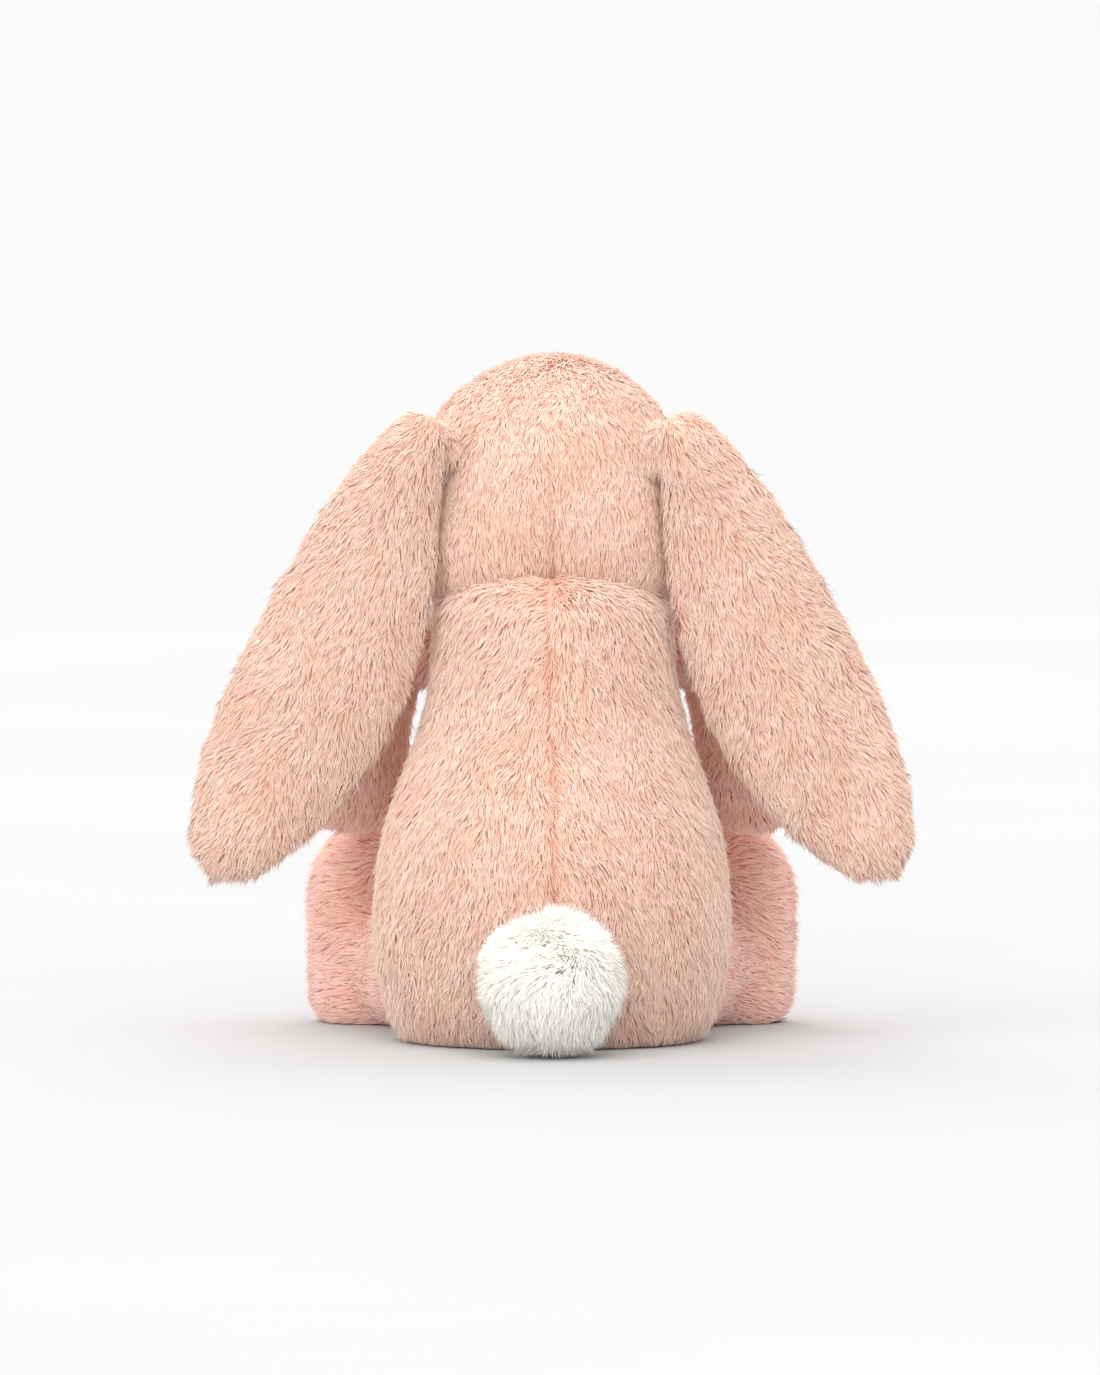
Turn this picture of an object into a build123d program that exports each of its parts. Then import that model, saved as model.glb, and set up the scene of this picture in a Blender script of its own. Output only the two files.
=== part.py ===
from build123d import *
import os
from math import asin, cos, radians, sin, sqrt

# A sitting stuffed rabbit. It faces -Y, its left is +X, and it sits on Z = 0 with the seat's centre at
# the origin. The solids end at the pressed pile, so the loose tips of the fur stand outside them.

# Driving sizes, millimetres and degrees
fabric = 3.0  # backing cloth with the pressed pile on it
fill_gap = 0.2  # between a cover and what fills it
clearance = 1.0  # between bodies that move past each other
small_gap = 0.1  # shank and stitches in their holes

torso_height = 138.0
seat_width = 113.0
seat_level = 40.0  # height of the widest part
base_width = 90.0  # flat part under the seat
waist_width = 97.0
waist_level = 86.0
chest_width = 78.0  # where the shoulders start to round over
shoulder_round = 22.0  # from there up to the top
seam_width = 1.0  # closed back seam
bean_level = 42.0  # top of the bean pouch
pouch_cloth = 1.0

neck_diameter = 24.0  # stuffed plug through the neck opening
neck_forward = 8.0
neck_rise = 3.0  # the plug's centre above the torso
head_diameter = 87.0
head_forward = 20.0
head_gap = 0.5  # between the torso's top and the skull's lowest point
head_seam_back = 12.0  # ear-to-ear seam behind the skull's centre
gusset_width = 34.0
muzzle_diameter = 44.0
muzzle_sink = 11.5  # how deep the muzzle's centre lies in the skull
muzzle_drop = 10.0

eye_diameter = 9.0
eye_side = 26.0
eye_rise = 11.0
shank_diameter = 3.0
shank_length = 8.0
washer_diameter = 11.0
washer_thickness = 1.2
nose_width = 13.0
nose_height = 8.0
nose_depth = 3.5
nose_rise = 6.0  # above the muzzle's centre
thread = 1.2  # embroidery thread
mouth_drop = 7.0
mouth_arm = 6.0
mouth_turn = 55.0  # each arm, from straight down

ear_length = 168.0
ear_width = 51.0
ear_thickness = 12.0
ear_edge = 4.0  # rounding of the ear's edge
ear_root_width = 25.0
ear_tip_width = 24.0
ear_widest = 98.0  # distance from the root end to the widest part
ear_out = 15.2  # the root's centre beyond the skull, seen from above
ear_round = 43.0  # the root's direction from the skull's centre, behind the side
ear_rise = 14.0  # the root above the skull's centre
ear_splay = 25.0  # outward from straight down
ear_lean = 4.0  # forward from straight down

arm_reach = 56.0  # from the shoulder's centre to the paw's
shoulder_width = 22.0
paw_width = 34.0
shoulder_gap = 3.0  # between the chest and the shoulder
shoulder_turn = 22.0  # the shoulder's direction from the torso's axis, ahead of the side
shoulder_drop = 10.0  # below the torso's top
arm_splay = 30.0  # outward from straight ahead
arm_drop = 50.0  # down from level

leg_width = 38.0
leg_reach = 28.0  # from the hip's centre to the foot's
hip_round = 33.5  # the hip's direction from the torso's axis, outward from straight ahead
leg_splay = 22.0  # outward from straight ahead
foot_width = 50.0
foot_height = 68.0
foot_depth = 30.0
foot_edge = 10.0  # rounding of the foot's edge
heel_press = 1.0  # how far the heel is pressed flat
sole_thickness = 3.5

tail_diameter = 43.0
tail_lift = 4.5  # above the surface that the rabbit sits on
tail_gap = 1.6  # between the seat and the tail
tail_stitch_diameter = 10.0

# Places that follow from them
chest_level = torso_height - shoulder_round
neck_level = torso_height + neck_rise
head_level = torso_height + head_gap + head_diameter / 2
muzzle_forward = head_forward + head_diameter / 2 - muzzle_sink
muzzle_level = head_level - muzzle_drop
nose_level = muzzle_level + nose_rise
ear_distance = head_diameter / 2 + ear_out
ear_side = ear_distance * cos(radians(ear_round))
ear_back = ear_distance * sin(radians(ear_round)) - head_forward
ear_level = head_level + ear_rise
shoulder_distance = chest_width / 2 + shoulder_width / 2 + shoulder_gap
shoulder_side = shoulder_distance * cos(radians(shoulder_turn))
shoulder_forward = shoulder_distance * sin(radians(shoulder_turn))
shoulder_level = torso_height - shoulder_drop
hip_distance = seat_width / 2 + leg_width / 2 + clearance / 2
hip_side = hip_distance * sin(radians(hip_round))
hip_forward = hip_distance * cos(radians(hip_round))
tail_level = tail_diameter / 2 + tail_lift

huge = 400.0  # half-size of the boxes that cut pieces apart


def keep(solid, x=(-huge, huge), y=(-huge, huge), z=(-huge, huge)):
    """The part of a solid inside these limits."""
    size = (x[1] - x[0], y[1] - y[0], z[1] - z[0])
    middle = ((x[0] + x[1]) / 2, (y[0] + y[1]) / 2, (z[0] + z[1]) / 2)
    return solid & Pos(*middle) * Box(*size)


def capsule(first_width, second_width, reach, wall=0.0):
    """Two balls and the cone round them, from the first ball's centre at the origin along +Z."""
    first = first_width / 2 - wall
    second = second_width / 2 - wall
    tilt = asin((second - first) / reach)
    lower = (first * cos(tilt), 0, -first * sin(tilt))
    upper = (second * cos(tilt), 0, reach - second * sin(tilt))
    low_turn = radians(45) + tilt / 2
    high_turn = radians(45) - tilt / 2
    low_middle = (first * sin(low_turn - tilt), 0, -first * cos(low_turn - tilt))
    high_middle = (second * cos(high_turn), 0, reach + second * sin(high_turn))
    edges = [
        ThreePointArc((0, 0, -first), low_middle, lower),
        Line(lower, upper),
        ThreePointArc(upper, high_middle, (0, 0, reach + second)),
        Line((0, 0, reach + second), (0, 0, -first)),
    ]
    return revolve(make_face(edges), Axis.Z)


def both_sides(left):
    """The left piece and its mirror image, by side."""
    return {"left": left, "right": mirror(left, Plane.YZ)}


def save(name, shape):
    """Write one node."""
    solids = shape.solids()
    export_step(solids[0] if len(solids) == 1 else Compound(children=list(solids)), f"parts/{name}.step")


def save_pair(name, left):
    for side, shape in both_sides(left).items():
        save(f"{name}_{side}", shape)


def neck_ball(extra=0.0):
    return Pos(0, -neck_forward, neck_level) * Sphere(neck_diameter / 2 + extra)


def torso_body(wall=0.0):
    """A pear of revolution with a flat base, less a wall all round."""
    base = (base_width / 2 - wall, 0, wall)
    seat = (seat_width / 2 - wall, 0, seat_level)
    waist = (waist_width / 2 - wall, 0, waist_level)
    chest = (chest_width / 2 - wall, 0, chest_level - wall / 2)
    top = (0, 0, torso_height - wall)
    edges = [
        Line((0, 0, wall), base),
        ThreePointArc(base, seat, waist),
        Line(waist, chest),
        TangentArc(top, chest, tangent=(1, 0, 0)),
        Line(top, (0, 0, wall)),
    ]
    return revolve(make_face(edges), Axis.Z)


def torso():
    """Seat, belly and back panels, the closed back seam, and what the torso holds."""
    socket = neck_ball(clearance)
    shell = torso_body() - torso_body(fabric) - socket
    save("seat_panel", keep(shell, z=(0, fabric)))
    upper = keep(shell, z=(fabric, huge))
    save("belly_panel", keep(upper, y=(-huge, 0)))
    back = keep(upper, y=(0, huge))
    save("back_panel_left", keep(back, x=(seam_width / 2, huge)))
    save("back_panel_right", keep(back, x=(-huge, -seam_width / 2)))
    save("back_seam", keep(back, x=(-seam_width / 2, seam_width / 2)))

    inside = fabric + fill_gap
    cloth = inside + pouch_cloth
    pouch = keep(torso_body(inside), z=(0, bean_level))
    save("bean_pouch", pouch - keep(torso_body(cloth), z=(0, bean_level - pouch_cloth)))
    save("bean_fill", keep(torso_body(cloth + fill_gap), z=(0, bean_level - pouch_cloth - fill_gap)))
    save("torso_stuffing", keep(torso_body(inside), z=(bean_level + fill_gap, huge)) - socket)
    save("neck_plug", neck_ball())


def tail():
    """A pom-pom: its fluffy cover, its core and the stitches that close it against the seat."""
    root = seat_width / 2 + tail_gap
    middle = Pos(0, root + tail_diameter / 2, tail_level)
    ball = middle * Sphere(tail_diameter / 2)
    inside = middle * Sphere(tail_diameter / 2 - fabric)
    depth = 4 * fabric
    place = Pos(0, root, tail_level) * Rot(90, 0, 0)
    save("tail_cover", ball - inside - place * Cylinder(tail_stitch_diameter / 2 + small_gap, depth))
    save("tail_stitches", (ball - inside) & place * Cylinder(tail_stitch_diameter / 2, depth))
    save("tail_core", middle * Sphere(tail_diameter / 2 - fabric - fill_gap))


def skull(wall=0.0):
    return Pos(0, -head_forward, head_level) * Sphere(head_diameter / 2 - wall)


def muzzle(wall=0.0):
    return Pos(0, -muzzle_forward, muzzle_level) * Sphere(muzzle_diameter / 2 - wall)


def eye_place():
    """The left eye's plane on the skull, facing outward."""
    front = sqrt((head_diameter / 2) ** 2 - eye_side**2 - eye_rise**2)
    origin = (eye_side, -head_forward - front, head_level + eye_rise)
    return Plane(origin=origin, x_dir=(1, 0, 0), z_dir=(eye_side, -front, eye_rise))


def eye_pieces():
    """The left eye with its shank, its washer, and the room that they take in cover and stuffing."""
    place = eye_place()
    shank = Pos(0, 0, -shank_length / 2) * Cylinder(shank_diameter / 2, shank_length)
    eye = keep(Sphere(eye_diameter / 2), z=(0, huge)) + shank
    washer_level = -fabric - 2 * fill_gap - washer_thickness / 2
    ring = Cylinder(washer_diameter / 2, washer_thickness)
    washer = Pos(0, 0, washer_level) * (ring - Cylinder(shank_diameter / 2 + small_gap, washer_thickness))
    hole = Cylinder(shank_diameter / 2 + small_gap, 2 * shank_length)
    room_depth = shank_length + fill_gap
    room = Pos(0, 0, -room_depth / 2) * Cylinder(washer_diameter / 2 + fill_gap, room_depth)
    return place * eye, place * washer, place * hole, place * room


def mouth_strip(length, tilt):
    """A box as wide as the thread, hanging from the point under the nose."""
    top = nose_level - nose_height / 2
    box = Pos(0, 0, -length / 2) * Box(thread, huge, length)
    return Pos(0, -huge / 2 - muzzle_forward, top) * Rot(0, tilt, 0) * box


def nose_block(extra=0.0):
    """A rounded wedge through the muzzle's front, wide at the top."""
    half = nose_width / 2 + extra
    high = nose_height / 2 + extra
    outline = Polygon((-half, high), (half, high), (0.25 * half, -high), (-0.25 * half, -high), align=None)
    return Pos(0, -muzzle_forward, nose_level) * extrude(Plane.XZ * outline, huge, dir=(0, -1, 0))


def face():
    """Nose and mouth, stitched on the muzzle."""
    on_skin = muzzle(-fill_gap)
    save("nose", (muzzle(-fill_gap - nose_depth) - on_skin) & nose_block())
    lower = Pos(0, 0, -mouth_drop)
    lines = mouth_strip(mouth_drop, 0)
    lines += lower * mouth_strip(mouth_arm, mouth_turn)
    lines += lower * mouth_strip(mouth_arm, -mouth_turn)
    save("mouth_stitch", (muzzle(-fill_gap - thread) - on_skin - nose_block(fill_gap)) & lines)


def head():
    """Back and side panels, centre gusset, chin and muzzle, and what the head holds."""
    socket = neck_ball(clearance)
    inside = skull(fabric) + muzzle(fabric)
    shell = skull() - inside - socket
    eye, washer, hole, room = eye_pieces()
    save_pair("eye", eye)
    save_pair("eye_washer", washer)

    seam_y = -head_forward + head_seam_back
    back = keep(shell, y=(seam_y, huge))
    front = keep(shell, y=(-huge, seam_y))
    save_pair("head_back", keep(back, x=(0, huge)))
    save_pair("head_side", keep(front, x=(gusset_width / 2, huge)) - hole)
    middle = keep(front, x=(-gusset_width / 2, gusset_width / 2))
    save("head_gusset", keep(middle, z=(muzzle_level, huge)))
    save("chin_panel", keep(middle, z=(-huge, muzzle_level)))
    save("muzzle_panel", muzzle() - skull() - inside)
    filling = skull(fabric + fill_gap) + muzzle(fabric + fill_gap)
    save("head_stuffing", filling - socket - room - mirror(room, Plane.YZ))
    face()


def ear_plate(wall=0.0):
    """A rounded paddle along +Z from the root's centre, its thickness along Y."""
    root = ear_root_width / 2
    tip = ear_tip_width / 2
    widest = ear_width / 2
    circles = [
        (0, root),
        (0.55 * ear_widest - root, 0.88 * widest),
        (ear_widest - root, widest),
        (0.5 * (ear_widest + ear_length) - root, 0.84 * widest),
        (ear_length - root - tip, tip),
    ]
    rings = [Pos(0, along) * CenterArc((0, 0), half - wall, 0, 360) for along, half in circles]
    outline = Plane.XZ * make_hull([edge for ring in rings for edge in ring.edges()])
    thick = ear_thickness - 2 * wall
    plate = Pos(0, thick / 2, 0) * extrude(outline, thick, dir=(0, -1, 0))
    return fillet(plate.edges(), ear_edge - wall) if wall < ear_edge - small_gap else plate


def ear():
    """Fur back, plain lining and the thin batting between them."""
    down = Vector(
        sin(radians(ear_splay)),
        -sin(radians(ear_lean)) * cos(radians(ear_splay)),
        -cos(radians(ear_lean)) * cos(radians(ear_splay)),
    )
    place = Plane(origin=(ear_side, ear_back, ear_level), x_dir=(-1, 0, 0), z_dir=down)
    whole = ear_plate()
    pocket = ear_plate(fabric)
    save_pair("ear_fur", place * (keep(whole, y=(0, huge)) - pocket))
    save_pair("ear_lining", place * (keep(whole, y=(-huge, 0)) - pocket))
    save_pair("ear_batting", place * ear_plate(fabric + fill_gap))


def arm():
    """Outer and inner panel round the stuffing, from the shoulder's centre to the paw."""
    level = cos(radians(arm_drop))
    along = Vector(
        level * sin(radians(arm_splay)),
        -level * cos(radians(arm_splay)),
        -sin(radians(arm_drop)),
    )
    across = Vector(cos(radians(arm_splay)), sin(radians(arm_splay)), 0)
    origin = (shoulder_side, -shoulder_forward, shoulder_level)
    place = Plane(origin=origin, x_dir=across, z_dir=along)
    sizes = (shoulder_width, paw_width, arm_reach)
    shell = capsule(*sizes) - capsule(*sizes, fabric)
    save_pair("arm_outer", place * keep(shell, x=(0, huge)))
    save_pair("arm_inner", place * keep(shell, x=(-huge, 0)))
    save_pair("arm_stuffing", place * capsule(*sizes, fabric + fill_gap))


def leg_body(wall=0.0):
    """Thigh and upright foot, pointing along -Y from above the hip's centre at the origin."""
    root = leg_width / 2 - wall
    thigh = Cylinder(root, leg_reach, align=(Align.CENTER, Align.CENTER, Align.MIN)) + Sphere(root)
    outline = SlotOverall(foot_height - 2 * wall, foot_width - 2 * wall, rotation=90)
    deep = foot_depth - 2 * wall
    foot = extrude(Plane.XZ * outline, deep, dir=(0, -1, 0))
    foot = fillet(foot.edges(), foot_edge - wall)
    middle = foot_height / 2 - heel_press
    foot = Pos(0, -leg_reach + deep / 2, middle) * foot
    return keep(Pos(0, 0, leg_width / 2 + heel_press) * Rot(90, 0, 0) * thigh + foot, z=(wall, huge))


def leg():
    """Outer and inner panel, sole and stuffing."""
    place = Pos(hip_side, -hip_forward, 0) * Rot(0, 0, leg_splay)
    shell = leg_body() - leg_body(fabric)
    sole_y = -leg_reach - foot_depth / 2 + sole_thickness
    rest = keep(shell, y=(sole_y, huge))
    save_pair("leg_outer", place * keep(rest, x=(0, huge)))
    save_pair("leg_inner", place * keep(rest, x=(-huge, 0)))
    save_pair("leg_sole", place * keep(shell, y=(-huge, sole_y)))
    save_pair("leg_stuffing", place * leg_body(fabric + fill_gap))


def main():
    os.makedirs("parts", exist_ok=True)
    torso()
    tail()
    head()
    ear()
    arm()
    leg()


main()
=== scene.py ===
import math

import bpy
import numpy as np
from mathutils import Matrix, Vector, kdtree


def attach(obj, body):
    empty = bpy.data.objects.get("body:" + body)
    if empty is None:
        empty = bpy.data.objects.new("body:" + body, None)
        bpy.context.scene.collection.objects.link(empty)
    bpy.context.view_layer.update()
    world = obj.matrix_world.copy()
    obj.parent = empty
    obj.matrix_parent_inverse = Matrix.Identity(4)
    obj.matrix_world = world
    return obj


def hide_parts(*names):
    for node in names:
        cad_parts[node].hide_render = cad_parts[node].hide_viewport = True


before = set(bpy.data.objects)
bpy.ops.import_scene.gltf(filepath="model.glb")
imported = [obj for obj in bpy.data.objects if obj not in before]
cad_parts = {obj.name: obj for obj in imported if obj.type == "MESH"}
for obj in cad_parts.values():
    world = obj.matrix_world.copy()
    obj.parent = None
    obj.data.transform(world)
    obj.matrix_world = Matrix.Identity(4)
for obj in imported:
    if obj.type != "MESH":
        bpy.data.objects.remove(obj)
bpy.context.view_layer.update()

# Lengths here are metres. The rabbit faces -Y with its left at +X and sits on Z = 0.
# Each soft part is a smooth skin with a pile of combed, clumped tufts standing on it.
MM = 0.001
MIRROR = np.array([-1.0, 1.0, 1.0])
SIDES = {"left": np.ones(3), "right": MIRROR}

# Places shared by the skins and the pile
HEAD = np.array([0, -20, 182]) * MM
SKULL = 43.5 * MM
MUZZLE = np.array([0, -52, 172]) * MM
MUZZLE_RADIUS = 22 * MM
EYE = np.array([26, -53, 193]) * MM
NOSE = np.array([0, -74, 178]) * MM
EAR_PIVOT = np.array([42.9, 20, 196]) * MM
EAR_ROOT = 12.5 * MM
EAR_HALF = 26 * MM  # its width, at the widest
EAR_SPLAY = math.radians(25)
EAR_LEAN = math.radians(4)
SHOULDER = np.array([49.1, -19.9, 128]) * MM
ARM_SPLAY = math.radians(30)
ARM_DROP = math.radians(50)
ARM_REACH = 56 * MM
HIP = np.array([41.9, -63.4, 0]) * MM
LEG_SPLAY = math.radians(22)
LEG_REACH = 28 * MM
TAIL = np.array([0, 79.6, 24.5]) * MM

MOST_TUFTS = 22000  # in one mesh
# Where each body's pile starts its random draws
SEEDS = {
    "torso": 101,
    "head": 202,
    "ear_left": 303,
    "ear_right": 304,
    "arm_left": 404,
    "arm_right": 405,
    "leg_left": 505,
    "leg_right": 506,
    "tail": 606,
}


# ---------------------------------------------------------------- small helpers


def rgb(red, green, blue):
    """A linear colour from the values that a colour picker shows."""
    return [((value / 255 + 0.055) / 1.055) ** 2.4 for value in (red, green, blue)] + [1.0]


def unit(vectors):
    return vectors / np.maximum(np.linalg.norm(vectors, axis=-1, keepdims=True), 1e-12)


def flat_on(vectors, normals):
    """The share of each vector that lies in the surface."""
    return vectors - normals * np.sum(vectors * normals, axis=-1, keepdims=True)


def through(points, at):
    """Smooth values at these places from a few (place, value) points."""
    places, values = np.array(points, dtype=float).T
    slopes = np.gradient(values, places)
    slopes[0] = (values[1] - values[0]) / (places[1] - places[0])
    slopes[-1] = (values[-1] - values[-2]) / (places[-1] - places[-2])
    index = np.clip(np.searchsorted(places, at) - 1, 0, len(places) - 2)
    span = places[index + 1] - places[index]
    t = np.clip((at - places[index]) / span, 0, 1)
    rise = values[index + 1] - values[index]
    low, high = slopes[index] * span, slopes[index + 1] * span
    return values[index] + t * low + t**2 * (3 * rise - 2 * low - high) + t**3 * (low + high - 2 * rise)


def wander(points, size, seed):
    """A smooth vector field that varies over this length."""
    rng = np.random.default_rng(seed)
    total = np.zeros_like(points)
    for _ in range(5):
        wave = unit(rng.normal(size=(3, 3))) * (2 * math.pi / size) * rng.uniform(0.6, 1.4)
        total += np.sin(points @ wave.T + rng.uniform(0, 2 * math.pi, 3))
    return total / 3


def turned(points, angle):
    """Points turned about the Z axis."""
    c, s = math.cos(angle), math.sin(angle)
    return points @ np.array([[c, s, 0], [-s, c, 0], [0, 0, 1]])


def linked(name, data):
    """A new object with this data, in the scene."""
    piece = bpy.data.objects.new(name, data)
    bpy.context.scene.collection.objects.link(piece)
    return piece


def mesh_object(name, vertices, faces):
    mesh = bpy.data.meshes.new(name)
    mesh.from_pydata([tuple(v) for v in vertices], [], [tuple(f) for f in faces])
    mesh.update()
    mesh.polygons.foreach_set("use_smooth", np.ones(len(mesh.polygons), dtype=bool))
    return linked(name, mesh)


def places_and_normals(mesh):
    places, normals = np.empty(len(mesh.vertices) * 3), np.empty(len(mesh.vertices) * 3)
    mesh.vertices.foreach_get("co", places)
    mesh.vertices.foreach_get("normal", normals)
    return places.reshape(-1, 3), normals.reshape(-1, 3)


# ---------------------------------------------------------------- materials


def new_material(name, roughness, sheen=0.0):
    material = bpy.data.materials.new(name)
    material.use_nodes = True
    shader = material.node_tree.nodes["Principled BSDF"]
    shader.inputs["Roughness"].default_value = roughness
    shader.inputs["Sheen Weight"].default_value = sheen
    shader.inputs["Sheen Roughness"].default_value = 0.6
    return material, material.node_tree, shader


def ramp(tree, source, stops):
    node = tree.nodes.new("ShaderNodeValToRGB")
    while len(node.color_ramp.elements) < len(stops):
        node.color_ramp.elements.new(0.5)
    for element, (place, colour) in zip(node.color_ramp.elements, stops):
        element.position = place
        element.color = colour
    tree.links.new(source, node.inputs["Fac"])
    return node.outputs["Color"]


def mixed(tree, factor, first, second):
    node = tree.nodes.new("ShaderNodeMix")
    node.data_type = "RGBA"
    tree.links.new(factor, node.inputs["Factor"])
    tree.links.new(first, node.inputs["A"])
    tree.links.new(second, node.inputs["B"])
    return node.outputs["Result"]


def raised(tree, shader, source, strength, distance):
    """A bump on the shader, as high as this source says."""
    bump = tree.nodes.new("ShaderNodeBump")
    bump.inputs["Strength"].default_value = strength
    bump.inputs["Distance"].default_value = distance
    tree.links.new(source, bump.inputs["Height"])
    tree.links.new(bump.outputs["Normal"], shader.inputs["Normal"])


def pile_material(name, shaded, lit):
    """Tuft colour from root to tip, darkest at the root (painted shade in the pile) and palest at the tip
    (painted highlight), mixed between a painted-shade set and a painted-light set by each tuft's U.
    """
    material, tree, shader = new_material(name, 0.75, 0.35)
    place = tree.nodes.new("ShaderNodeUVMap")
    place.uv_map = "OFBake"
    parts = tree.nodes.new("ShaderNodeSeparateXYZ")
    tree.links.new(place.outputs["UV"], parts.inputs["Vector"])
    stops = (0.0, 0.35, 1.0)
    dark = ramp(tree, parts.outputs["Y"], list(zip(stops, shaded)))
    pale = ramp(tree, parts.outputs["Y"], list(zip(stops, lit)))
    tree.links.new(mixed(tree, parts.outputs["X"], dark, pale), shader.inputs["Base Color"])
    return material


def noisy_material(name, first, second, scale, roughness, bump, sheen=0.0, stretch=(1, 1, 1)):
    """Two colours mottled together, with a bump of the same grain."""
    material, tree, shader = new_material(name, roughness, sheen)
    place = tree.nodes.new("ShaderNodeTexCoord")
    mapping = tree.nodes.new("ShaderNodeMapping")
    mapping.inputs["Scale"].default_value = stretch
    noise = tree.nodes.new("ShaderNodeTexNoise")
    noise.inputs["Scale"].default_value = scale
    noise.inputs["Detail"].default_value = 6
    tree.links.new(place.outputs["Object"], mapping.inputs["Vector"])
    tree.links.new(mapping.outputs["Vector"], noise.inputs["Vector"])
    colour = ramp(tree, noise.outputs["Fac"], [(0.35, first), (0.65, second)])
    tree.links.new(colour, shader.inputs["Base Color"])
    raised(tree, shader, noise.outputs["Fac"], bump, 0.6 * MM)
    return material


def woven_material(name, first, second, threads):
    """Crossing threads, this many to the metre."""
    material, tree, shader = new_material(name, 0.8, 0.1)
    place = tree.nodes.new("ShaderNodeTexCoord")
    bands_per_unit = 20  # of the wave node's scale
    waves = []
    for direction in ("X", "Z"):
        wave = tree.nodes.new("ShaderNodeTexWave")
        wave.bands_direction = direction
        wave.inputs["Scale"].default_value = threads / bands_per_unit
        wave.inputs["Distortion"].default_value = 0.4
        tree.links.new(place.outputs["Object"], wave.inputs["Vector"])
        waves.append(wave.outputs["Fac"])
    product = tree.nodes.new("ShaderNodeMath")
    product.operation = "MULTIPLY"
    for wave, socket in zip(waves, product.inputs):
        tree.links.new(wave, socket)
    colour = ramp(tree, product.outputs["Value"], [(0.1, first), (0.7, second)])
    tree.links.new(colour, shader.inputs["Base Color"])
    raised(tree, shader, product.outputs["Value"], 0.5, 0.4 * MM)
    return material


# Each pile runs root, middle, tip: darkest at the root as painted shade deep in the pile and palest at the
# tip as painted highlight. The shaded set is painted shade and the lit set painted light, mixed tuft by tuft.
BLUSH = pile_material(
    "blush_pile",
    shaded=[rgb(220, 132, 102), rgb(222, 168, 144), rgb(228, 186, 166)],
    lit=[rgb(230, 160, 132), rgb(232, 202, 184), rgb(240, 220, 206)],
)
BLUSH_LIMB = pile_material(
    "blush_limb_pile",
    shaded=[rgb(232, 130, 106), rgb(244, 174, 154), rgb(248, 192, 174)],
    lit=[rgb(240, 158, 136), rgb(252, 206, 190), rgb(254, 226, 216)],
)
CREAM = pile_material(
    "cream_pile",
    shaded=[rgb(226, 219, 203), rgb(236, 231, 219), rgb(244, 241, 232)],
    lit=[rgb(236, 231, 218), rgb(246, 242, 233), rgb(251, 249, 243)],
)
BACKING = noisy_material("blush_backing", rgb(224, 172, 148), rgb(236, 190, 166), 900, 0.9, 0.5, 0.2)
LIMB_BACKING = noisy_material("limb_backing", rgb(220, 160, 142), rgb(232, 178, 160), 900, 0.9, 0.5, 0.2)
CREAM_BACKING = noisy_material("cream_backing", rgb(236, 232, 221), rgb(244, 241, 233), 900, 0.9, 0.5, 0.2)
FIBRE = noisy_material("fibre", rgb(225, 224, 218), rgb(247, 246, 242), 260, 0.95, 1.0, 0.3)
POUCH = woven_material("pouch_cloth", rgb(198, 190, 174), rgb(232, 227, 214), 1800)
PELLETS = noisy_material("pellets", rgb(196, 198, 196), rgb(232, 233, 230), 320, 0.4, 1.0)
THREAD = noisy_material("cream_thread", rgb(206, 198, 180), rgb(236, 230, 216), 700, 0.7, 1.0, 0.2, (1, 1, 8))
STITCH = noisy_material("nose_thread", rgb(120, 62, 54), rgb(164, 94, 82), 420, 0.45, 1.0, 0.3, (6, 1, 0.4))
EYE_BEAD = noisy_material("eye_bead", rgb(22, 13, 9), rgb(34, 21, 15), 60, 0.08, 0.02)
EYE_BEAD.node_tree.nodes["Principled BSDF"].inputs["Coat Weight"].default_value = 0.8
WASHER = noisy_material("washer_plastic", rgb(206, 206, 202), rgb(222, 222, 218), 500, 0.5, 0.2)


# ---------------------------------------------------------------- skins


def ball_mesh(steps):
    """Directions over a ball, and the faces between them."""
    bpy.ops.mesh.primitive_ico_sphere_add(subdivisions=steps, radius=1)
    ball = bpy.context.object
    count = len(ball.data.vertices)
    directions = np.empty(count * 3)
    ball.data.vertices.foreach_get("co", directions)
    corners = np.empty(len(ball.data.polygons) * 3, dtype=int)
    ball.data.polygons.foreach_get("vertices", corners)
    bpy.data.objects.remove(ball)
    return unit(directions.reshape(-1, 3)), corners.reshape(-1, 3)


def grown(centre, distance, steps):
    """A closed skin where the distance function is zero, found by halving from a centre inside it."""
    directions, faces = ball_mesh(steps)
    reach = 0.1  # farther than any skin lies from its centre
    near = np.zeros(len(directions))
    far = np.full(len(directions), reach)
    for _ in range(22):
        middle = (near + far) / 2
        inside = distance(centre + directions * middle[:, None]) < 0
        near = np.where(inside, middle, near)
        far = np.where(inside, far, middle)
    return centre + directions * near[:, None], faces


def melted(first, second, blend):
    """Two distances joined with a soft fillet."""
    overlap = np.maximum(blend - np.abs(first - second), 0) / blend
    return np.minimum(first, second) - overlap**2 * blend / 4


def ball(points, centre, radius):
    return np.linalg.norm(points - centre, axis=1) - radius


def rounded(first, second):
    """The distance to a square corner between two walls, from the distance to each."""
    return np.hypot(np.maximum(first, 0), np.maximum(second, 0)) + np.minimum(np.maximum(first, second), 0)


def twins(points, offset, radius):
    """A ball on each side of the middle of the head."""
    left, right = (ball(points, HEAD + offset * mirror * MM, radius) for mirror in SIDES.values())
    return np.minimum(left, right)


def rod(points, start, end, radius):
    span = end - start
    along = np.clip((points - start) @ span / (span @ span), 0, 1)
    return np.linalg.norm(points - start - along[:, None] * span, axis=1) - radius


def lumps(points, size, height, seed):
    """Uneven stuffing: a gentle swell in and out of the surface."""
    return wander(points, size, seed)[:, 0] * height


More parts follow.
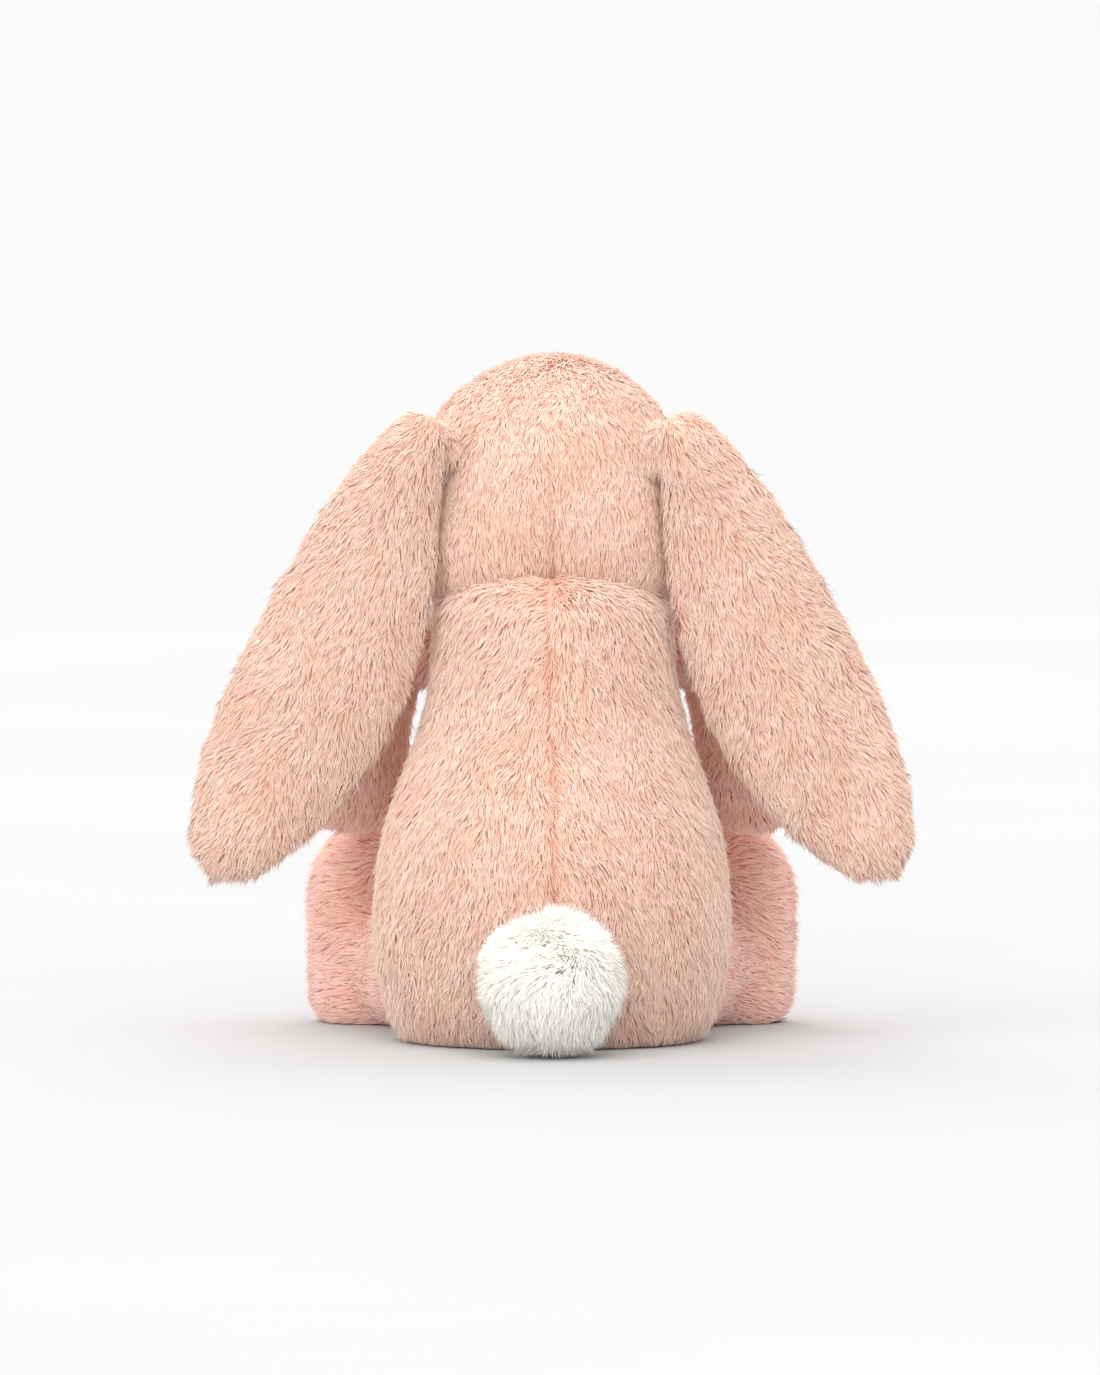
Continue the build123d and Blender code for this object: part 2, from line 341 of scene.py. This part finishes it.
def loft(spine, across, through_axis, wide, deep, around=96):
    """Rings of ellipses along a spine, closed by a point at each end."""
    turn = np.linspace(0, 2 * math.pi, around, endpoint=False)
    rings = (
        spine[1:-1, None]
        + across * (wide[1:-1, None, None] * np.cos(turn)[None, :, None])
        + through_axis * (deep[1:-1, None, None] * np.sin(turn)[None, :, None])
    )
    vertices = np.vstack([spine[:1], rings.reshape(-1, 3), spine[-1:]])
    faces = []
    last = len(vertices) - 1
    rows = len(spine) - 2
    for step in range(around):
        following = (step + 1) % around
        faces.append((0, 1 + following, 1 + step))
        for row in range(rows - 1):
            low = 1 + row * around
            high = low + around
            faces.append((low + step, low + following, high + following, high + step))
        top = 1 + (rows - 1) * around
        faces.append((top + step, top + following, last))
    return vertices, faces


def torso_form():
    """A pear, flat under the seat, with a drawn-in seam down the middle of its back."""
    seam_width, seam_depth = 4 * MM, 1.8 * MM
    top_lean, lean_from, lean_over = -5, 105, 50
    outline = np.array(
        [
            (0, 0.6), (24, 0.6), (41, 0.7), (48.5, 3.5), (53, 12), (56, 26), (57, 41), (55.8, 57),
            (52.6, 73), (48, 87), (43.2, 101), (40, 114), (38.7, 126), (38, 136), (36.5, 144.5),
            (31, 151), (17, 154.8), (0, 155.6),
        ]
    )  # fmt: skip
    order = np.arange(len(outline))
    at = np.linspace(0, order[-1], 150)
    radius = np.maximum(through(np.column_stack([order, outline[:, 0]]), at), 0)
    height = np.maximum(through(np.column_stack([order, outline[:, 1]]), at), 0.5)
    lean = top_lean * np.clip((height - lean_from) / lean_over, 0, 1) ** 2
    spine = np.column_stack([np.zeros(len(at)), lean, height]) * MM
    across, through_it = np.array([1.0, 0, 0]), np.array([0, 1.0, 0])
    vertices, faces = loft(spine, across, through_it, radius * MM, radius * MM, 160)
    away = unit(vertices * [1, 1, 0] + 1e-9)
    seat = np.clip(vertices[:, 2:] / (12 * MM), 0, 1)
    swell = lumps(vertices, 0.07, 0.9 * MM, 3)[:, None] * seat
    groove = np.exp(-((vertices[:, :1] / seam_width) ** 2)) * (vertices[:, 1:2] > 0)
    vertices = vertices + away * (swell - seam_depth * groove * seat)
    return vertices, faces


def head_form():
    """A round skull with soft cheeks, a short muzzle and stubs for the ears, and a seam up the nape."""
    seam_width, seam_depth = 2.6 * MM, 1.6 * MM
    stub_inner = HEAD + np.array([24, 2, 14]) * MM
    stub_outer = EAR_PIVOT + np.array([0, -8, 1]) * MM
    stub_radius = 7 * MM

    def distance(points):
        skull = ball(points, HEAD, SKULL)
        cheeks = twins(points, np.array([17, -20, -13]), 23 * MM)
        nape = twins(points, np.array([13, 11, -17]), 31 * MM)
        face = melted(ball(points, MUZZLE, MUZZLE_RADIUS), cheeks, 6 * MM)
        whole = melted(melted(skull, nape, 10 * MM), face, 8 * MM)
        for mirror in SIDES.values():
            stub = rod(points, stub_inner * mirror, stub_outer * mirror, stub_radius)
            whole = melted(whole, stub, 5 * MM)
        return whole

    vertices, faces = grown(HEAD + np.array([0, -8, -3]) * MM, distance, 6)
    away = unit(vertices - HEAD)
    low = np.clip((200 * MM - vertices[:, 2:]) / (20 * MM), 0, 1)
    groove = np.exp(-((vertices[:, :1] / seam_width) ** 2)) * (vertices[:, 1:2] > 0) * low
    swell = lumps(vertices, 0.06, 0.6 * MM, 5)[:, None] * (vertices[:, 1:2] > -0.03)
    return vertices + away * (swell - seam_depth * groove), faces


def ear_axes():
    """The ear's own directions: down its length, across it outward, and through it."""
    level = math.cos(EAR_SPLAY)
    down = np.array([math.sin(EAR_SPLAY), -math.sin(EAR_LEAN) * level, -math.cos(EAR_LEAN) * level])
    outward = unit(-np.cross([0, 1.0, 0], down))
    return down, outward, np.cross(down, outward)


def ear_place(points):
    """How far along its length and across it each point of the left ear lies."""
    down, outward, _ = ear_axes()
    offset = points - EAR_PIVOT
    return offset @ down + EAR_ROOT, offset @ outward


def ear_form(side):
    """A long plump paddle that curls a little round the head. Its lists say (mm along it, mm)."""
    length = 168
    widths = [
        (0, 0), (2, 4), (9, 8), (16, 10.5), (27, 14), (43, 19), (61, 22.6), (80, 25), (97, 26),
        (112, 25.4), (128, 23.2), (142, 19.5), (154, 14.5), (163, 9), (length, 0),
    ]  # fmt: skip
    depths = [(0, 0), (6, 5), (14, 6.5), (40, 5.4), (90, 5.2), (140, 4.8), (160, 3.4), (length, 0)]
    bends = [
        (0, 2), (9, 3), (16, 3), (27, 2.4), (42, 0.8), (58, -0.9), (77, -2), (97, -2.6),
        (121, -1.5), (152, 1), (length, 2.5),
    ]  # fmt: skip
    along = length / 2 * (1 - np.cos(np.linspace(0, math.pi, 110)))
    wide = np.maximum(through(widths, along), 0) * MM
    deep = np.maximum(through(depths, along), 0) * MM
    down, outward, through_it = ear_axes()
    bend = through(bends, along) * MM
    spine = EAR_PIVOT + np.outer(along * MM - EAR_ROOT, down) + np.outer(bend, outward)
    vertices, faces = loft(spine, outward, through_it, wide, deep)
    run, offset = ear_place(vertices)
    curl = (offset / EAR_HALF) ** 2
    vertices = vertices + np.outer(-3.2 * MM * curl * np.sign(through_it[1]), through_it)
    swell_height, seed = {"left": (0.8 * MM, 11), "right": (1.5 * MM, 23)}[side]
    swell = lumps(vertices, 0.045, swell_height, seed) * np.clip(run / 0.03, 0, 1)
    return vertices + np.outer(swell, through_it), faces


def arm_axis():
    level = math.cos(ARM_DROP)
    return np.array([level * math.sin(ARM_SPLAY), -level * math.cos(ARM_SPLAY), -math.sin(ARM_DROP)])


def arm_form():
    """A short arm, fuller at the paw, that bows a little away from the body."""
    steps = np.linspace(0, 1, 12)
    bow = np.array([0.8, 0.2, 0.5]) * 3.5 * MM
    centres = SHOULDER + np.outer(steps * ARM_REACH, arm_axis()) + np.outer(4 * steps * (1 - steps), bow)
    radii = (8 + 9 * steps**1.3) * MM
    sewn = SHOULDER + np.outer([1, 0.5], [-10, 4, 1]) * MM
    centres, radii = np.vstack([sewn, centres]), np.concatenate([[8 * MM] * 2, radii])

    def distance(points):
        total = ball(points, centres[0], radii[0])
        for centre, radius in zip(centres[1:], radii[1:]):
            total = melted(total, ball(points, centre, radius), 2 * MM)
        return total

    vertices, faces = grown(centres[6], distance, 5)
    return vertices + unit(vertices - centres[6]) * lumps(vertices, 0.05, 0.6 * MM, 31)[:, None], faces


def leg_form():
    """A thick thigh that ends in a big upright foot, pressed flat where it rests."""
    middle = np.array([0, -LEG_REACH, 33 * MM])
    half_width, half_height, half_thick = 26.5 * MM, 35 * MM, 15 * MM
    corner_below, corner_above, edge = 15 * MM, 26 * MM, 12 * MM
    thigh_height, thigh_radius = 20 * MM, 19.3 * MM

    def distance(points):
        along = np.clip(-points[:, 1] / LEG_REACH, -0.25, 1)
        heights = np.full(len(points), thigh_height)
        axis = np.column_stack([np.zeros(len(points)), -along * LEG_REACH, heights])
        thigh = np.linalg.norm(points - axis, axis=1) - thigh_radius
        offset = points - middle
        corner = np.where(offset[:, 2] < 0, corner_below, corner_above)
        beside = np.abs(offset[:, 0]) - half_width + corner
        above = np.abs(offset[:, 2]) - half_height + corner
        flat = rounded(beside, above) - corner + edge
        thick = np.abs(offset[:, 1]) - half_thick + edge
        foot = rounded(flat, thick) - edge
        return melted(thigh, foot, 9 * MM)

    vertices, faces = grown(np.array([0, -20, 27]) * MM, distance, 6)
    vertices = vertices + unit(vertices - middle) * lumps(vertices, 0.05, 0.6 * MM, 41)[:, None]
    vertices[:, 2] = np.maximum(vertices[:, 2], 0.6 * MM)
    return turned(vertices, LEG_SPLAY) + HIP, faces


def tail_form():
    """A ball under the pom-pom's pile."""
    directions, faces = ball_mesh(5)
    radius = 17.3 * MM + lumps(directions, 0.9, 0.5 * MM, 51)[:, None]
    return TAIL + directions * radius, faces


# ---------------------------------------------------------------- pile


class Pile:
    """How the pile on one part grows: lengths in metres, and tufts to the square centimetre."""

    def __init__(self, flow, tufts, length, width, lift=0.9, clump=0.5, spread=0.35, tone=None, trim=None):
        self.flow = flow
        self.tufts = tufts
        self.length = length
        self.width = width
        self.lift = lift
        self.clump = clump
        self.spread = spread
        self.tone = tone
        self.trim = trim


def roots_on(piece, tufts, rng):
    """Even random places over a skin, with its normals there."""
    mesh = piece.data
    mesh.calc_loop_triangles()
    places, normals = places_and_normals(mesh)
    corners = np.empty(len(mesh.loop_triangles) * 3, dtype=int)
    mesh.loop_triangles.foreach_get("vertices", corners)
    corners = corners.reshape(-1, 3)
    a, b, c = (places[corners[:, k]] for k in range(3))
    area = np.linalg.norm(np.cross(b - a, c - a), axis=1) / 2
    total = int(area.sum() * 1e4 * tufts)
    pick = np.searchsorted(np.cumsum(area) / area.sum(), rng.random(total))
    pick = np.minimum(pick, len(corners) - 1)
    u, v = rng.random((2, total, 1))
    fold = u + v > 1
    u, v = np.where(fold, 1 - u, u), np.where(fold, 1 - v, v)
    share = (1 - u - v, u, v)
    roots = sum(share[k] * places[corners[pick, k]] for k in range(3))
    facing = unit(sum(share[k] * normals[corners[pick, k]] for k in range(3)))
    return roots, facing


def gather(roots, middles, tips, clump, rng):
    """Draws each tuft towards the nearest leading tuft, as pile clumps, and says which that is."""
    leaders = rng.choice(len(roots), max(len(roots) // 7, 1), replace=False)
    tree = kdtree.KDTree(len(leaders))
    for index, leader in enumerate(leaders):
        tree.insert(Vector(roots[leader]), index)
    tree.balance()
    nearest = leaders[[tree.find(Vector(root))[1] for root in roots]]
    strength = clump * rng.uniform(0.5, 1.3, (len(roots), 1))
    middles += (middles[nearest] - middles) * strength * 0.35
    tips += (tips[nearest] - tips) * np.minimum(strength, 0.9)
    return nearest


def tuft_mesh(name, roots, middles, tips, facing, width, tone):
    """Tufts as one mesh. U is a tuft's share of the painted-light set, from its random tint and painted seam
    shade, and V runs from its root to its tip.

    A tuft has a triangle at the root, another halfway and a point at the tip. Each of its three
    sides is shaded by one normal, bent towards the skin's, so that the pile looks soft.
    """
    count = len(roots)
    hair = unit(tips - roots)
    across = unit(np.cross(hair, facing) + 1e-9)
    ridge = unit(np.cross(across, hair))
    ridge *= np.where(np.sum(ridge * facing, axis=1, keepdims=True) < 0, -1, 1)
    side = across * width[:, None] / 2
    side_high = across * width[:, None] * 0.42
    rise = ridge * width[:, None] * 0.45
    low = [roots - side, roots + side, roots + rise]
    high = [middles - side_high, middles + side_high, middles + rise]
    vertices = np.stack([*low, *high, tips], axis=1)
    lowest = 0.3 * MM  # so that no tuft dips into the floor
    vertices[:, :, 2] = np.maximum(vertices[:, :, 2], lowest)
    sides = [(1, 4, 5, 2), (4, 6, 5), (2, 5, 3, 0), (5, 6, 3), (0, 3, 4, 1), (3, 6, 4)]
    side_corners = 7  # four below the middle and three above it
    pattern = np.array([corner for face in sides for corner in face])
    sizes = np.array([len(face) for face in sides])
    starts = np.concatenate([[0], np.cumsum(sizes)[:-1]])
    points_each = vertices.shape[1]
    corners = (pattern[None] + points_each * np.arange(count)[:, None]).ravel()
    firsts = (starts[None] + len(pattern) * np.arange(count)[:, None]).ravel()
    mesh = bpy.data.meshes.new(name)
    mesh.vertices.add(points_each * count)
    mesh.vertices.foreach_set("co", vertices.astype(np.float32).ravel())
    mesh.loops.add(len(corners))
    mesh.loops.foreach_set("vertex_index", corners.astype(np.int32))
    mesh.polygons.add(len(firsts))
    mesh.polygons.foreach_set("loop_start", firsts.astype(np.int32))
    mesh.polygons.foreach_set("use_smooth", np.ones(len(firsts), dtype=bool))
    spread = np.array([-0.02, 0.02, 0.0, -0.015, 0.015, 0.0, 0.0])
    height = np.array([0.0, 0.0, 0.02, 0.45, 0.45, 0.47, 1.0])
    layout = np.empty((count, points_each, 2))
    layout[:, :, 0] = np.clip(tone[:, None] + spread, 0, 1)
    layout[:, :, 1] = height
    uv = mesh.uv_layers.new(name="OFBake")
    uv.uv.foreach_set("vector", layout.reshape(-1, 2)[corners].astype(np.float32).ravel())
    mesh.update(calc_edges=True)
    soft = 0.5 * facing + 0.35 * hair
    slopes = [ridge * 0.52 + across * 0.47, ridge * 0.52 - across * 0.47, -0.7 * ridge]
    shading = np.stack([unit(soft + slope) for slope in slopes], axis=1)
    mesh.normals_split_custom_set(np.repeat(shading.reshape(-1, 3), side_corners, axis=0).tolist())
    return linked(name, mesh)


def grow(body, skin, pile, material):
    """The whole pile of one body's skin, as meshes of a workable size."""
    seed = SEEDS[body]
    rng = np.random.default_rng(seed)
    tufts = pile.tufts * 1.0
    roots, facing = roots_on(skin, tufts, rng)
    scale = np.ones(len(roots))
    if pile.trim is not None:
        scale = pile.trim(roots)
        kept = scale > 0.05
        roots, facing, scale = roots[kept], facing[kept], scale[kept]
    ruffle = wander(roots, 0.016, seed + 1) * pile.spread
    ruffle = ruffle + rng.normal(size=roots.shape) * pile.spread * 0.45
    flow = unit(flat_on(unit(pile.flow(roots, facing)) + ruffle, facing))
    length = (pile.length * scale * rng.uniform(0.7, 1.15, len(roots)))[:, None]
    lift = pile.lift * rng.uniform(0.6, 1.3, (len(roots), 1))
    first = unit(flow + facing * lift)
    second = unit(flow + facing * lift * 0.3 + rng.normal(size=roots.shape) * 0.22)
    roots = roots - facing * 0.5 * MM  # rooted inside the skin
    middles = roots + first * length * 0.5
    tips = middles + second * length * 0.5
    leaders = gather(roots, middles, tips, pile.clump, rng)
    own = rng.normal(0.5, 0.2, len(roots))
    # A tuft's share of the painted-light set over the painted-shade set: its own random tint, its clump's and
    # a slow wander, with painted seam shade added next.
    tone = 0.45 * own + 0.55 * own[leaders] + 0.10 * wander(roots, 0.03, seed + 2)[:, 0]
    if pile.tone is not None:
        tone = tone + pile.tone(roots)
    tone = np.clip(tone, 0.03, 0.97)
    width = pile.width * rng.uniform(0.7, 1.2, len(roots)) * np.clip(scale, 0.6, 1)
    east = roots[:, 0] - roots[:, 0].mean()
    north = roots[:, 1] - roots[:, 1].mean()
    order = np.argsort(np.arctan2(north, east))
    columns = (roots, middles, tips, facing, width, tone)
    for number, part in enumerate(np.array_split(order, math.ceil(len(order) / MOST_TUFTS)), 1):
        shown = tuft_mesh(f"{body}_pile_{number}", *(column[part] for column in columns))
        shown.data.materials.append(material)
        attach(shown, body)


def torso_flow(points, facing):
    """Down the body, and away from the back seam beside it."""
    near = np.exp(-np.abs(points[:, 0]) / (7 * MM)) * (points[:, 1] > 0)
    side = np.sign(points[:, 0])
    aside = side * near * 0.3 + 0.12 * side
    return np.column_stack([aside, np.zeros(len(points)), -np.ones(len(points))])


def torso_seam_shade(points):
    # Painted shade in the back seam's groove: tufts there lean to the shaded set, in patches.
    seam = np.exp(-((points[:, 0] / (3 * MM)) ** 2)) * (points[:, 1] > 0)
    patchy = 0.5 + 0.5 * wander(points, 0.014, 8)[:, 0]
    return -0.6 * seam * np.clip(patchy, 0, 1)


def head_flow(points, facing):
    """Away from the nose over the face and the crown, then down the back."""
    back = np.clip((points[:, 1] + 25 * MM) / (30 * MM), 0, 1)[:, None]
    return unit(points - NOSE) * (1 - 0.8 * back) + np.array([0, 0, -1]) * back


def head_trim(points):
    """Shorter pile round the eyes and over the muzzle, and none where the eyes and the nose are."""
    bare_eye, bare_nose = 5.2 * MM, 7 * MM
    on_left = np.column_stack([np.abs(points[:, 0]), points[:, 1:]])
    eye = np.linalg.norm(on_left - EYE, axis=1)
    nose = np.linalg.norm((points - NOSE) * [0.85, 1, 1.3], axis=1)
    by_eye = np.clip((eye - bare_eye) / (12 * MM), 0, 1) * 0.75 + 0.25 * (eye > bare_eye)
    by_nose = np.clip((nose - bare_nose) / (18 * MM), 0, 1) * 0.6 + 0.4 * (nose > bare_nose)
    full = np.minimum(by_eye, by_nose)
    return np.where(full > 0.05, full, 0)


def head_seam_shade(points):
    # Painted shade in the nape seam's groove: tufts there lean to the shaded set.
    seam = np.exp(-(((points[:, 0] + 1 * MM) / (2.4 * MM)) ** 2))
    seam = seam * (points[:, 1] > 0) * np.clip((200 * MM - points[:, 2]) / (20 * MM), 0, 1)
    return -0.22 * seam


def along_ear(mirror):
    """Pile combed down the ear, and out towards its edges."""

    def flow(points, facing):
        down, outward, _ = ear_axes()
        _, offset = ear_place(points * mirror)
        return (down + np.outer(0.45 * offset / EAR_HALF, outward)) * mirror

    return flow


def along(direction):
    """Pile combed one way."""
    return lambda points, facing: np.tile(direction, (len(points), 1))


def tail_flow(points, facing):
    """Every way at once, and a little down."""
    return unit(wander(points, 0.02, 77)) * 0.5 + [0, 0, -0.6]


def dress(name, form, material, body, replaced, mirror=None):
    """A padded skin on its body, in place of the CAD panels."""
    vertices, faces = form
    if mirror is not None and mirror[0] < 0:
        vertices = vertices * mirror
        faces = [tuple(reversed(tuple(face))) for face in faces]
    skin = mesh_object(name, vertices, faces)
    skin.data.materials.append(material)
    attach(skin, body)
    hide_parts(*replaced)
    return skin


def filling(name, skin, body, inset, replaced, lowest=0.0):
    """The stuffing inside a skin, drawn in from it all round, and no lower than this height."""
    mesh = skin.data.copy()
    places, normals = places_and_normals(mesh)
    swell = lumps(places, 0.02, 0.5 * MM, 61)[:, None]
    moved = places - normals * (inset - swell)
    moved[:, 2] = np.maximum(moved[:, 2], lowest)
    mesh.vertices.foreach_set("co", moved.ravel())
    mesh.materials.clear()
    mesh.materials.append(FIBRE)
    piece = linked(name, mesh)
    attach(piece, body)
    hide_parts(*replaced)


def build_torso():
    panels = ("seat_panel", "belly_panel", "back_panel_left", "back_panel_right", "back_seam")
    skin = dress("torso_skin", torso_form(), BACKING, "torso", panels)
    filling("torso_filling", skin, "torso", 3.5 * MM, ["torso_stuffing"], 42 * MM)
    pile = Pile(torso_flow, tufts=250, length=7.6 * MM, width=0.5 * MM, lift=0.6, tone=torso_seam_shade)
    grow("torso", skin, pile, BLUSH)


def build_head():
    sides = ("head_back_left", "head_back_right", "head_side_left", "head_side_right")
    panels = (*sides, "head_gusset", "chin_panel", "muzzle_panel")
    skin = dress("head_skin", head_form(), BACKING, "head", panels)
    filling("head_filling", skin, "head", 4 * MM, ["head_stuffing"])
    shape = {"tufts": 260, "length": 6.6 * MM, "width": 0.48 * MM, "lift": 0.45}
    grow("head", skin, Pile(head_flow, **shape, tone=head_seam_shade, trim=head_trim), BLUSH)


def build_ear(side, mirror):
    body = f"ear_{side}"
    panels = (f"ear_fur_{side}", f"ear_lining_{side}")
    skin = dress(f"ear_{side}_skin", ear_form(side), BACKING, body, panels, mirror)
    filling(f"ear_{side}_filling", skin, body, 2.2 * MM, [f"ear_batting_{side}"])
    pile = Pile(along_ear(mirror), tufts=250, length=7.2 * MM, width=0.48 * MM, lift=0.6)
    grow(body, skin, pile, BLUSH)


def build_arm(side, mirror):
    body = f"arm_{side}"
    panels = (f"arm_outer_{side}", f"arm_inner_{side}")
    skin = dress(f"arm_{side}_skin", arm_form(), LIMB_BACKING, body, panels, mirror)
    filling(f"arm_{side}_filling", skin, body, 3.5 * MM, [f"arm_stuffing_{side}"])
    pile = Pile(along(arm_axis() * mirror), tufts=220, length=7.8 * MM, width=0.5 * MM)
    grow(body, skin, pile, BLUSH_LIMB)


def build_leg(side, mirror):
    body = f"leg_{side}"
    panels = (f"leg_outer_{side}", f"leg_inner_{side}", f"leg_sole_{side}")
    skin = dress(f"leg_{side}_skin", leg_form(), LIMB_BACKING, body, panels, mirror)
    filling(f"leg_{side}_filling", skin, body, 3.5 * MM, [f"leg_stuffing_{side}"])
    combed = along(np.array([0.9, -0.35, -0.25]) * mirror)
    pile = Pile(combed, tufts=220, length=8.2 * MM, width=0.5 * MM, lift=0.7)
    grow(body, skin, pile, BLUSH_LIMB)


def build_tail():
    skin = dress("tail_skin", tail_form(), CREAM_BACKING, "tail", ("tail_cover", "tail_core"))
    pile = Pile(tail_flow, tufts=700, length=10.5 * MM, width=0.4 * MM, lift=2.4, spread=0.5)
    grow("tail", skin, pile, CREAM)


def finish_cad_nodes():
    """The CAD nodes that still show, each with its own material."""
    looks = {
        "neck_plug": FIBRE,
        "bean_pouch": POUCH,
        "bean_fill": PELLETS,
        "tail_stitches": THREAD,
        "nose": STITCH,
        "mouth_stitch": STITCH,
    }
    for side in SIDES:
        looks[f"eye_{side}"] = EYE_BEAD
        looks[f"eye_washer_{side}"] = WASHER
    for node, material in looks.items():
        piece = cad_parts[node]
        for slot in piece.material_slots:
            slot.material = material


def build_studio():
    """A pale floor and sky, and four broad suns, two of them from the camera's side."""
    wide = 3.0
    corners = [(-wide, -wide, 0), (wide, -wide, 0), (wide, wide, 0), (-wide, wide, 0)]
    floor = mesh_object("floor", corners, [(0, 1, 2, 3)])
    white = noisy_material("studio_white", rgb(188, 188, 188), rgb(190, 190, 190), 3, 0.9, 0.0)
    white.node_tree.nodes["Principled BSDF"].inputs["Specular IOR Level"].default_value = 0.0
    floor.data.materials.append(white)
    bpy.context.scene.view_settings.view_transform = "Standard"
    world = bpy.data.worlds.new("studio")
    world.use_nodes = True
    world.node_tree.nodes["Background"].inputs["Color"].default_value = rgb(250, 250, 250)
    world.node_tree.nodes["Background"].inputs["Strength"].default_value = 1.0
    bpy.context.scene.world = world
    target = Vector((0, 0, 0.1))
    # name, where it shines from, how many degrees wide, how strong
    lights = [
        ("key", (-0.2, 2.0, 1.1), 50, 1.4),
        ("fill", (0.9, 1.2, 0.6), 60, 1.2),
        ("top", (0.0, 0.3, 2.0), 60, 1.0),
        ("front", (0.2, -1.4, 1.0), 60, 1.8),
    ]
    for name, place, spread, power in lights:
        data = bpy.data.lights.new(name, "SUN")
        data.angle = math.radians(spread)
        data.energy = power
        light = linked(name, data)
        light.location = place
        light.rotation_mode = "QUATERNION"
        light.rotation_quaternion = (target - Vector(place)).to_track_quat("-Z", "Y")


def place_camera():
    """From behind the rabbit and a little above it, with a long lens."""
    data = bpy.data.cameras.new("camera")
    camera = linked("camera", data)
    distance = 6.0
    tall = 0.4551  # what the frame's height takes in at the rabbit
    rise = math.radians(3.0)
    aim = Vector((0.0005, 0, 0.117))
    sensor = 36
    data.sensor_width = sensor
    data.lens = sensor * distance / tall
    camera.location = aim + Vector((0, math.cos(rise), math.sin(rise))) * distance
    camera.rotation_mode = "QUATERNION"
    camera.rotation_quaternion = (aim - camera.location).to_track_quat("-Z", "Y")
    bpy.context.scene.camera = camera


def main():
    build_torso()
    build_head()
    for side, mirror in SIDES.items():
        build_ear(side, mirror)
        build_arm(side, mirror)
        build_leg(side, mirror)
    build_tail()
    finish_cad_nodes()
    build_studio()
    place_camera()


main()
